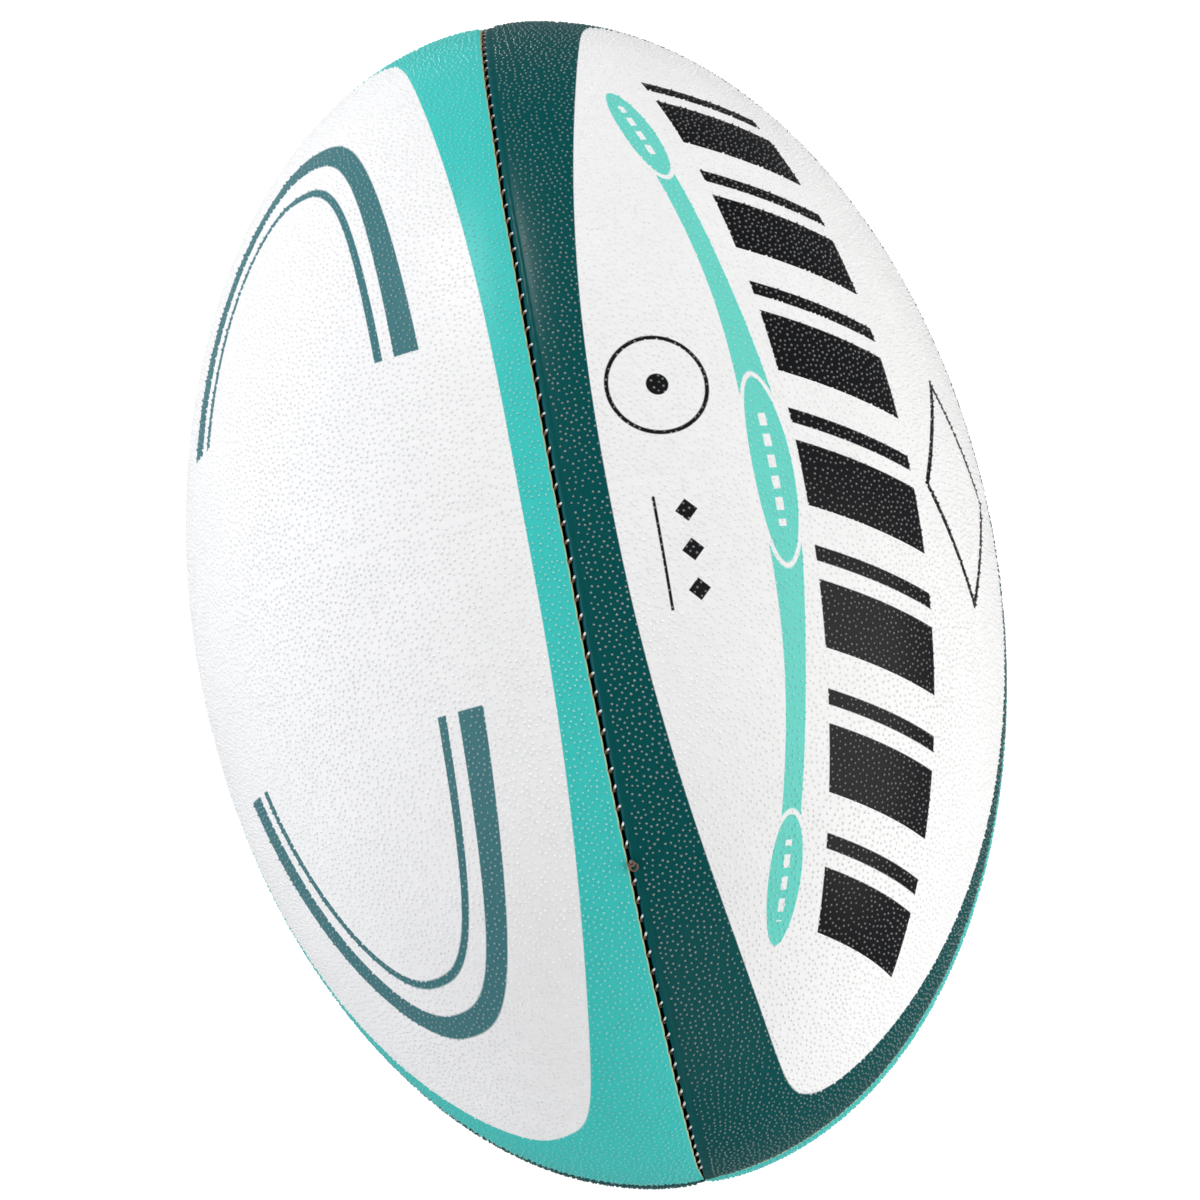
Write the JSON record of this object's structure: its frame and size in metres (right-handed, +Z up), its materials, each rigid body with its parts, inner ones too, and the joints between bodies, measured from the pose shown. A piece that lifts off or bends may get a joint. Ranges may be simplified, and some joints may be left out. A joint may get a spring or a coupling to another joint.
{
  "type": "rugby ball",
  "caption": "Inflated oval rugby ball of sewn rubber panels with a pimpled grip, fabric backing, an inner bladder and an in-seam valve.",
  "frame": {"origin": "middle of the ball", "axes": "+Y along the ball's length, away from the end that is nearest the viewer; +Z up through the seam between the light and the dark bordered panel; the valve is in the seam on the -X side"},
  "size_m": [0.194, 0.288, 0.194],
  "materials": {
    "skin_light_border": "satin pimpled grip rubber, off-white with printed light teal borders",
    "skin_dark_border": "satin pimpled grip rubber, off-white with printed dark teal borders",
    "backing_fabric": "woven polycotton laminated with latex",
    "seam_thread": "waxed twisted polyester thread",
    "bladder_latex": "thin satin latex",
    "valve_rubber": "moulded satin rubber",
    "valve_plug_rubber": "soft satin silicone rubber"
  },
  "bodies": {
    "root": {"skin_upper_right": "skin_dark_border", "skin_lower_right": "skin_light_border", "skin_lower_left": "skin_dark_border", "skin_upper_left": "skin_light_border", "outer_ply_upper_right": "backing_fabric", "outer_ply_lower_right": "backing_fabric", "outer_ply_lower_left": "backing_fabric", "outer_ply_upper_left": "backing_fabric", "middle_ply_upper_right": "backing_fabric", "middle_ply_lower_right": "backing_fabric", "middle_ply_lower_left": "backing_fabric", "middle_ply_upper_left": "backing_fabric", "inner_ply_upper_right": "backing_fabric", "inner_ply_lower_right": "backing_fabric", "inner_ply_lower_left": "backing_fabric", "inner_ply_upper_left": "backing_fabric", "stitches_top": "seam_thread", "stitches_right": "seam_thread", "stitches_bottom": "seam_thread", "stitches_left": "seam_thread", "closing_knot": "seam_thread", "bladder": "bladder_latex", "valve_patch": "bladder_latex", "valve_housing": "valve_rubber", "valve_core": "valve_plug_rubber"}
  },
  "joints": []
}
